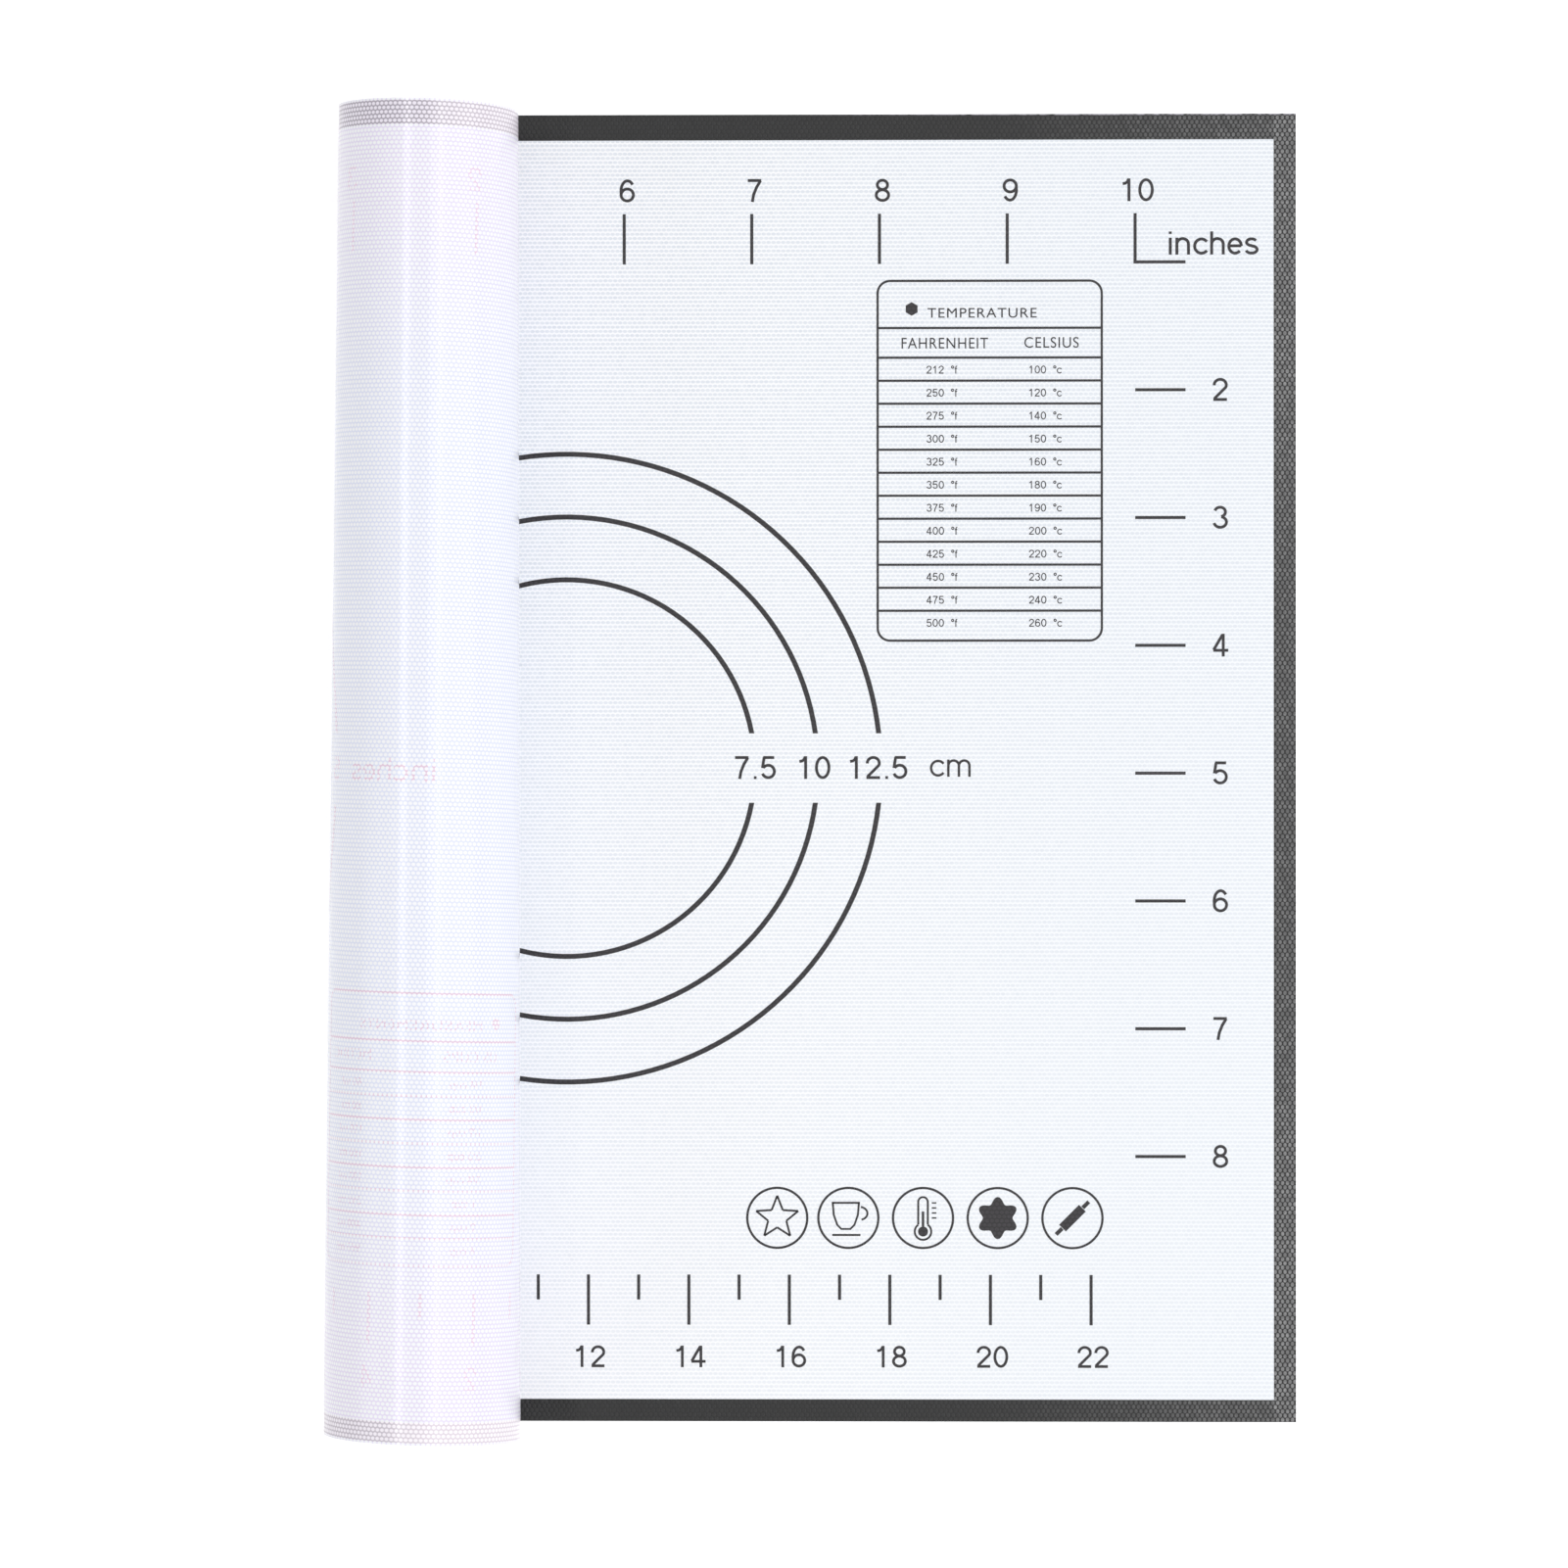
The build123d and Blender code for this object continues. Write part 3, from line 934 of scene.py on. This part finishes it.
# %% [markdown]
# ## Cut along the bending lines
#
# A strip is cut out with two planes, and its open sides are closed again. More planes
# between them give the strip enough edges to bend smoothly. All planes stand on lines
# that meet at the far point of the taper.

# %% Cutting
def cut(bm, number, keep=None):
    """Cuts a mesh along a bending line, keeping one side or both."""
    start = Vector((crease_start(number), FRONT, 0))
    along = Vector((meeting_x, meeting_y, 0)) - start
    bmesh.ops.bisect_plane(
        bm,
        geom=bm.verts[:] + bm.edges[:] + bm.faces[:],
        dist=1e-8,
        plane_co=start,
        plane_no=Vector((along.y, -along.x, 0)).normalized(),
        clear_outer=keep == "left",
        clear_inner=keep == "right",
    )


def close_sides(bm):
    open_edges = [edge for edge in bm.edges if edge.is_boundary]
    if open_edges:
        bmesh.ops.holes_fill(bm, edges=open_edges, sides=0)


# Each strip has 24 even steps of angle, shared by four pieces that get shorter
STEPS = 24
PIECE_STEPS = [0, 12, 18, 22, 24]


def line_number(strip, step):
    """The bending line at one of a strip's even steps of angle."""
    arc = arcs[strip - 1]
    return strip + math.sin(arc * step / STEPS / 2) / math.sin(arc / 2)


def cut_out(layer, strip, first, last):
    """The part of a layer between two steps of a strip, bent into place, or None."""
    bm = layer.copy()
    cut(bm, line_number(strip, first), keep="left")
    if (strip, last) != (STRIPS, STEPS):
        cut(bm, line_number(strip, last), keep="right")
    if not bm.faces:
        bm.free()
        return None
    close_sides(bm)
    for step in range(first + 1, math.ceil(last)):
        cut(bm, line_number(strip, step))
    return bm


# %% [markdown]
# ## UV maps that follow the cloth
#
# The threads have to keep their spacing round the bend. So one UV map counts the
# length along the bent sheet, and the other keeps the place on the open mat.

# %% UV maps, bending and finishing a piece
SHARP_ANGLE = 0.9


def add_uv_maps(bm, strip):
    weave = bm.loops.layers.uv.new("weave")
    place = bm.loops.layers.uv.new("place")
    for face in bm.faces:
        for loop in face.loops:
            x, y, _ = loop.vert.co
            along_sheet = x
            if strip:
                scale = (meeting_y - y) / TAPER_REACH
                away = max(crease_x(strip, y) - x, 0) / 2 / radii[strip - 1] / scale
                bent_so_far = sum(r * a for r, a in zip(radii[: strip - 1], arcs))
                own_bend = radii[strip - 1] * 2 * math.asin(min(away, 1))
                along_sheet = crease_x(1, y) - scale * (bent_so_far + own_bend)
            loop[weave].uv = (along_sheet, y)
            loop[place].uv = (x, y)


def finished(name, bm, strip, materials):
    """Bends a mesh into place, marks its sharp edges and makes it an object."""
    add_uv_maps(bm, strip)
    for face in bm.faces:
        face.smooth = True
        face.material_index = 0 if face.normal.z > -0.5 else len(materials) - 1
    bm.normal_update()
    for edge in bm.edges:
        edge.smooth = not (edge.is_manifold and edge.calc_face_angle(0) > SHARP_ANGLE)
    for vertex in bm.verts:
        vertex.co = bent(vertex.co, strip)
    bmesh.ops.recalc_face_normals(bm, faces=bm.faces)
    mesh = bpy.data.meshes.new(name)
    bm.to_mesh(mesh)
    bm.free()
    for material in materials:
        mesh.materials.append(material)
    made = bpy.data.objects.new(name, mesh)
    bpy.context.scene.collection.objects.link(made)
    return made


# %% [markdown]
# ## The part that lies flat
#
# The flat sheet is one piece, from the first crease to the right edge. It stands for
# the three flat layers of the CAD. The CAD's own band and ruler lines stay and get
# their finishes, and the figures are laid beside them. The CAD's lines stop a little
# before the first crease, so a narrow strip of lines carries them on to it.

# %% Flat sheet and figures
UPPER, UNDER = upper_face.material, under_face.material
flat_bm = layers["sheet"].copy()
cut(flat_bm, 1, keep="right")
close_sides(flat_bm)
flat_sheet = finished("flat_sheet", flat_bm, 0, [UPPER, UNDER])
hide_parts("base_coat", "glass_cloth", "top_coat")
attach(flat_sheet, "flat_mat")

figure_bm = flat_figures.copy()
cut(figure_bm, 1, keep="right")
close_sides(figure_bm)
flat_print = finished("flat_figures", figure_bm, 0, [print_ink.material])
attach(flat_print, "flat_mat")
NEAR_CREASE = 1.3 * MM
cut(crease_lines, 1, keep="right")
cut(crease_lines, 1 - NEAR_CREASE / strip_width, keep="left")
close_sides(crease_lines)
crease_print = finished("flat_lines_at_crease", crease_lines, 0, [print_ink.material])
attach(crease_print, "flat_mat")

# %% Finishes of the CAD's own pieces
NODE_FINISH = {
    "border_band": dark_band,
    "circle_guides": print_ink,
    "inch_scale": print_ink,
    "side_scale": print_ink,
    "centimetre_scale": print_ink,
    "conversion_table": print_ink,
    "badge_rings": print_ink,
}
for name, finish in NODE_FINISH.items():
    node = frame["nodes"][name]
    node.data.materials.clear()
    node.data.materials.append(finish.material)
print("finished", len(NODE_FINISH), "CAD nodes")

# %% [markdown]
# ## The rolled strips
#
# A rigid strip would stay curved when the roll is opened, so each strip is cut into
# four pieces. How far a piece must turn grows evenly along the arc: a point of a
# circle is seen from the crease under half of its arc. A smooth step between a start
# and an end would turn the points, so for each piece the start and end are worked out
# at which the smooth step passes through the turns it needs.

# %% Where a piece starts and ends to bend
def step_for(turn_share):
    """The place between start and end at which the smooth step has this value."""
    return 0.5 - math.sin(math.asin(1 - 2 * turn_share) / 3)


def bend_line(strip, first, last):
    """The start and end of the bend of one piece, as points in the frame."""
    at_crease = 1 - arcs[strip - 1] / 2 / turns[strip - 1]
    shares = [at_crease + (1 - at_crease) * step / STEPS for step in (first, last)]
    low, high = (step_for(min(max(share, 0), 1)) for share in shares)
    numbers = [line_number(strip, step) for step in (first, last)]
    near, far = (bent((crease_x(number, 0), 0, 0), strip) for number in numbers)
    middle = sum(numbers) / 2
    ends = [bent((crease_x(middle, y), y, 0), strip) for y in (FRONT, BACK)]
    along = (ends[1] - ends[0]).normalized()
    across = far - near
    across -= along * across.dot(along)
    length = across.length / (high - low)
    start = near - across.normalized() * length * low
    return start, start + across.normalized() * length


# %% Make the pieces
LAYER_FINISH = {
    "sheet": ([UPPER, UNDER], "silicone_coat"),
    "band": ([dark_band.material], "dark_band"),
    "marks": ([print_ink.material], "print_ink"),
    "seen_through": ([seen_through.material], "print_ink"),
}
for strip in range(1, STRIPS + 1):
    for piece, (first, last) in enumerate(zip(PIECE_STEPS, PIECE_STEPS[1:]), start=1):
        start, end = bend_line(strip, first, last)
        for layer_name, (materials, slot) in LAYER_FINISH.items():
            bm = cut_out(layers[layer_name], strip, first, last)
            if bm is None:
                continue
            name = f"rolled_{layer_name}_{strip:02d}_{piece}"
            made = finished(name, bm, strip, materials)
            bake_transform(made)

# %% [markdown]
# Two strips share a crease at the underside. When the roll is open, the upper faces
# would part there by a third of a millimetre, because the strip still leans back a
# little at its end. So each strip gets a short lap, a little thinner than the sheet,
# which lies inside the next strip while the roll is closed.

# %% Laps at the creases
LAP_LENGTH = 0.36 * MM
LAP_FINISH = {
    "sheet_lap": LAYER_FINISH["sheet"],
    "band_lap": LAYER_FINISH["band"],
    "marks_lap": LAYER_FINISH["marks"],
}
for strip in range(1, STRIPS):
    lap_end = STEPS * (1 + LAP_LENGTH / radii[strip - 1] / arcs[strip - 1])
    for layer_name, (materials, slot) in LAP_FINISH.items():
        bm = cut_out(layers[layer_name], strip, STEPS, lap_end)
        if bm is None:
            continue
        name = f"{layer_name}_{strip:02d}_end"
        made = finished(name, bm, strip, materials)
        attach(made, f"strip_{strip:02d}")

# %% Hide the CAD strips they stand for
for strip in range(1, STRIPS + 1):
    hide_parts(f"rolled_coat_{strip:02d}", f"rolled_cloth_{strip:02d}")
    half_arc = radii[strip - 1] * arcs[strip - 1] / 2
    half_arc * MAT_WIDTH * (1 + back_scale) / 2

# %% [markdown]
# ## Floor, light and camera
#
# The photograph is taken from straight above against white. The floor is a pale
# sheet that the camera sees as white and that still takes the shadow in other views.
# An even white world gives most of the light. Two narrow lamps, which only gleam, give
# the two bright streaks along the roll. A broad lamp lights the mat from the right,
# and a low one the left side of the roll.

# %% Floor
FLOOR_SIZE = 8.0
FLOOR_LIFT = 0.4
SEEN_WHITE_RAYS = ("Is Glossy Ray", "Is Transmission Ray")

floor_finish = Finish("studio_floor", 0.9)
floor_finish.shade("Base Color", linear(245, 245, 245))
seen = floor_finish.node("ShaderNodeLightPath", output="Is Camera Ray")
for ray in SEEN_WHITE_RAYS:
    seen = seen + floor_finish.node("ShaderNodeLightPath", output=ray)
lift = floor_finish.node("ShaderNodeEmission", None, {"Strength": seen * FLOOR_LIFT})
both = floor_finish.node("ShaderNodeAddShader", None, {1: lift})
floor_tree = floor_finish.tree
floor_tree.links.new(floor_finish.shader.outputs[0], both.socket.node.inputs[0])
floor_tree.links.new(both.socket, floor_tree.nodes["Material Output"].inputs["Surface"])

floor_bm = bmesh.new()
bmesh.ops.create_grid(floor_bm, x_segments=1, y_segments=1, size=FLOOR_SIZE / 2)
floor_mesh = bpy.data.meshes.new("floor")
floor_bm.to_mesh(floor_mesh)
floor_bm.free()
floor_mesh.materials.append(floor_finish.material)
floor = bpy.data.objects.new("floor", floor_mesh)
bpy.context.scene.collection.objects.link(floor)

# %% World
AMBIENT = 0.635

world = bpy.data.worlds.new("studio")
bpy.context.scene.world = world
world.use_nodes = True
world_tree = world.node_tree
ambient = world_tree.nodes["Background"]
ambient.inputs["Strength"].default_value = AMBIENT
ambient.inputs["Color"].default_value = (1, 1, 1, 1)
white = world_tree.nodes.new("ShaderNodeBackground")
white.inputs["Color"].default_value = (1, 1, 1, 1)
rays = world_tree.nodes.new("ShaderNodeLightPath")
choice = world_tree.nodes.new("ShaderNodeMixShader")
seen_white = rays.outputs["Is Camera Ray"]
for ray in SEEN_WHITE_RAYS:
    either = world_tree.nodes.new("ShaderNodeMath")
    either.operation = "MAXIMUM"
    world_tree.links.new(seen_white, either.inputs[0])
    world_tree.links.new(rays.outputs[ray], either.inputs[1])
    seen_white = either.outputs[0]
world_tree.links.new(seen_white, choice.inputs[0])
world_tree.links.new(ambient.outputs[0], choice.inputs[1])
world_tree.links.new(white.outputs[0], choice.inputs[2])
world_tree.links.new(choice.outputs[0], world_tree.nodes["World Output"].inputs["Surface"])

# %% Lamps
LAMP_REACH = 1.3
ROLL_X = -0.077


def add_lamp(name, angle, width, length, power, gleam_only=False, nearer=0):
    """A soft lamp over the roll, at an angle from straight up, facing the mat."""
    lamp = bpy.data.lights.new(name, "AREA")
    lamp.shape = "RECTANGLE"
    lamp.size, lamp.size_y = width, length
    lamp.energy = power
    holder = bpy.data.objects.new(name, lamp)
    turn = math.radians(angle)
    holder.location = (ROLL_X + LAMP_REACH * math.sin(turn), -nearer, LAMP_REACH * math.cos(turn))
    holder.rotation_euler = (0, turn, 0)
    holder.visible_diffuse = not gleam_only
    bpy.context.scene.collection.objects.link(holder)


add_lamp("left_streak_lamp", -22, 0.07, 1.6, 3.8, gleam_only=True)
add_lamp("right_streak_lamp", 19, 0.04, 1.6, 2, gleam_only=True)
add_lamp("right_soft_lamp", 36, 1.4, 1.6, 9)
add_lamp("left_low_lamp", -60, 0.6, 1.2, 2.4, nearer=0.6)

# %% [markdown]
# The camera stands where the printed rulers say it stood: their spacing gives its
# height, and the sides of the roll give its place across the mat. A tilt of about one
# degree brings the outline to its place in the picture.

# %% Camera
CAMERA_HEIGHT = 1161 * MM
CAMERA_X, CAMERA_Y = 65.15 * MM, -1.90 * MM
PIXELS_ACROSS = 1601
FOCAL_PIXELS = 5955
TILT = [math.radians(angle) for angle in (0.063, -1.080, 0.020)]

camera = bpy.data.cameras.new("camera")
camera.sensor_width = 36
camera.lens = camera.sensor_width * FOCAL_PIXELS / PIXELS_ACROSS
camera_holder = bpy.data.objects.new("camera", camera)
bpy.context.scene.collection.objects.link(camera_holder)
view_turn = Matrix.Identity(4)
for angle, axis in zip(TILT, "XYZ"):
    view_turn = view_turn @ Matrix.Rotation(angle, 4, axis)
camera_place = Matrix.Translation((CAMERA_X, CAMERA_Y, CAMERA_HEIGHT)) @ view_turn.inverted()
camera_holder.matrix_world = mat_centre @ camera_place
bpy.context.scene.camera = camera_holder
bpy.context.scene.view_settings.view_transform = "Standard"
